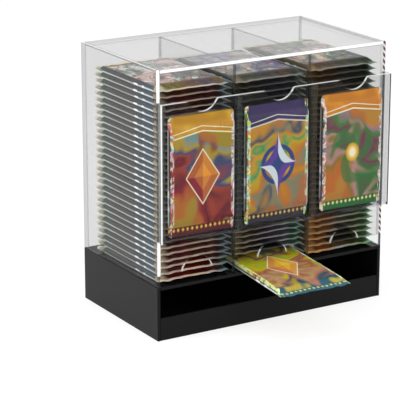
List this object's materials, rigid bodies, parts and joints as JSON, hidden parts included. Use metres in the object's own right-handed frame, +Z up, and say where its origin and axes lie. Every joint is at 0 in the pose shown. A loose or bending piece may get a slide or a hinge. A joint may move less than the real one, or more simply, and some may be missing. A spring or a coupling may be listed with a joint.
{
  "type": "booster pack dispenser",
  "caption": "Clear case that holds columns of flat foil card packs on a black base with an open tray; packs slide out through a low front slot, and a front pocket shows packs upright.",
  "frame": {"origin": "on the table, under the middle of the base: the centre of the base floor's underside", "axes": "+Z up, -Y towards the front where the packs come out, +X to the right as seen from the front"},
  "size_m": [0.237, 0.2061, 0.241],
  "materials": {
    "clear_acrylic": "clear, polished edges",
    "black_acrylic": "glossy black",
    "pack_foil_brown": "printed foil wrapper",
    "pack_foil_slate": "printed foil wrapper",
    "pack_foil_olive": "printed foil wrapper",
    "pack_foil_gold": "printed foil wrapper",
    "pack_foil_navy": "printed foil wrapper",
    "pack_foil_green": "printed foil wrapper",
    "pack_foil_orange": "printed foil wrapper"
  },
  "bodies": {
    "case": {"base_left_wall": "black_acrylic", "base_right_wall": "black_acrylic", "base_back_wall": "black_acrylic", "base_floor": "black_acrylic", "tray_lip": "black_acrylic", "platform": "black_acrylic", "case_left_panel": "clear_acrylic", "case_right_panel": "clear_acrylic", "case_back_panel": "clear_acrylic", "front_panel": "clear_acrylic", "divider_left": "clear_acrylic", "divider_right": "clear_acrylic", "pocket_sheet": "clear_acrylic", "pocket_spacer_1": "clear_acrylic", "pocket_spacer_2": "clear_acrylic", "pocket_spacer_3": "clear_acrylic", "pocket_spacer_4": "clear_acrylic", "pocket_ledge_left": "clear_acrylic", "pocket_ledge_middle": "clear_acrylic", "pocket_ledge_right": "clear_acrylic"},
    "case_lid": {"lid": "clear_acrylic"},
    "stack_left": {"pack_stack_left": "pack_foil_brown"},
    "stack_middle": {"pack_stack_middle": "pack_foil_slate"},
    "stack_right": {"pack_stack_right": "pack_foil_olive"},
    "next_pack_left": {"lowest_pack_left": "pack_foil_brown"},
    "next_pack_right": {"lowest_pack_right": "pack_foil_olive"},
    "next_pack_middle": {"drawn_pack": "pack_foil_orange"},
    "shown_pack_left": {"display_pack_left": "pack_foil_gold"},
    "shown_pack_middle": {"display_pack_middle": "pack_foil_navy"},
    "shown_pack_right": {"display_pack_right": "pack_foil_green"}
  },
  "joints": [
    {"name": "lid_lift", "type": "slide", "parent": "case", "child": "case_lid", "axis": [0, 0, 1], "range_m": [0, 0.06]},
    {"name": "stack_play_left", "type": "slide", "parent": "case", "child": "stack_left", "axis": [0, 0, 1], "range_m": [0, 0.0139]},
    {"name": "stack_play_middle", "type": "slide", "parent": "case", "child": "stack_middle", "axis": [0, 0, 1], "range_m": [0, 0.0151]},
    {"name": "stack_play_right", "type": "slide", "parent": "case", "child": "stack_right", "axis": [0, 0, 1], "range_m": [0, 0.0139]},
    {"name": "pull_left", "type": "slide", "parent": "case", "child": "next_pack_left", "axis": [0, -1, 0], "range_m": [0, 0.124]},
    {"name": "pull_middle", "type": "slide", "parent": "case", "child": "next_pack_middle", "axis": [0, -0.9969, -0.0785], "range_m": [0, 0.05]},
    {"name": "pull_right", "type": "slide", "parent": "case", "child": "next_pack_right", "axis": [0, -1, 0], "range_m": [0, 0.124]},
    {"name": "display_lift_left", "type": "slide", "parent": "case", "child": "shown_pack_left", "axis": [0, 0, 1], "range_m": [0, 0.122]},
    {"name": "display_lift_middle", "type": "slide", "parent": "case", "child": "shown_pack_middle", "axis": [0, 0, 1], "range_m": [0, 0.122]},
    {"name": "display_lift_right", "type": "slide", "parent": "case", "child": "shown_pack_right", "axis": [0, 0, 1], "range_m": [0, 0.122]}
  ]
}
